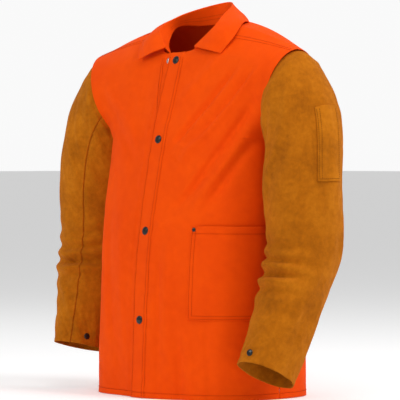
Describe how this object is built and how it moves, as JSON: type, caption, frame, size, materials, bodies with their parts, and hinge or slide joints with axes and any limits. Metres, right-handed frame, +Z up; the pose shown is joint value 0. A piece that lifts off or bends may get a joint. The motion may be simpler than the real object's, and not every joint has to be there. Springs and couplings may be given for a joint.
{
  "type": "welding jacket",
  "caption": "Welding work jacket: cotton fronts and back, split-leather sleeves, fold-over collar, patch pockets and a press-stud front.",
  "frame": {"origin": "on the ground under the middle of the hem", "axes": "+Z up the body, -Y out of the jacket's front, +X to the wearer's left"},
  "size_m": [0.7659, 0.349, 0.8121],
  "materials": {
    "body_cloth": "orange flame-resistant cotton sateen, matt",
    "sleeve_suede": "tan split cowhide, napped",
    "blackened_metal": "black enamelled press-stud caps and rivets",
    "bright_steel": "bright plated press-stud posts and sockets"
  },
  "bodies": {
    "torso": {"back_panel": "body_cloth", "left_front_panel": "body_cloth", "right_front_panel": "body_cloth", "right_front_facing": "body_cloth", "collar_stand": "body_cloth", "collar_leaf": "body_cloth", "front_pocket": "body_cloth", "stud_1_back": "blackened_metal", "stud_2_back": "blackened_metal", "stud_3_back": "blackened_metal", "stud_4_back": "blackened_metal", "pocket_rivet_inner": "blackened_metal", "pocket_rivet_outer": "blackened_metal", "stud_1_post": "bright_steel", "stud_2_post": "bright_steel", "stud_3_post": "bright_steel", "stud_4_post": "bright_steel"},
    "left_front": {"left_front_edge": "body_cloth", "left_front_facing": "body_cloth", "stud_1_cap": "blackened_metal", "stud_2_cap": "blackened_metal", "stud_3_cap": "blackened_metal", "stud_4_cap": "blackened_metal", "stud_1_socket": "bright_steel", "stud_2_socket": "bright_steel", "stud_3_socket": "bright_steel", "stud_4_socket": "bright_steel"},
    "left_sleeve": {"left_topsleeve": "sleeve_suede", "left_undersleeve": "sleeve_suede", "pen_pocket": "sleeve_suede", "left_cuff_cap": "blackened_metal", "left_cuff_socket": "bright_steel"},
    "right_sleeve": {"right_topsleeve": "sleeve_suede", "right_undersleeve": "sleeve_suede", "right_cuff_cap": "blackened_metal", "right_cuff_socket": "bright_steel"}
  },
  "joints": [
    {"name": "front_opening", "type": "hinge", "parent": "torso", "child": "left_front", "pos_m": [0.105, -0.19, 0], "axis": [-0.1033, 0.0849, 0.991], "range_deg": [0, 80]},
    {"name": "left_sleeve_lift", "type": "hinge", "parent": "torso", "child": "left_sleeve", "pos_m": [0.281, -0.008, 0.706], "axis": [0, -1, 0], "range_deg": [0, 45]},
    {"name": "right_sleeve_lift", "type": "hinge", "parent": "torso", "child": "right_sleeve", "pos_m": [-0.281, -0.008, 0.706], "axis": [0, 1, 0], "range_deg": [0, 45]}
  ]
}
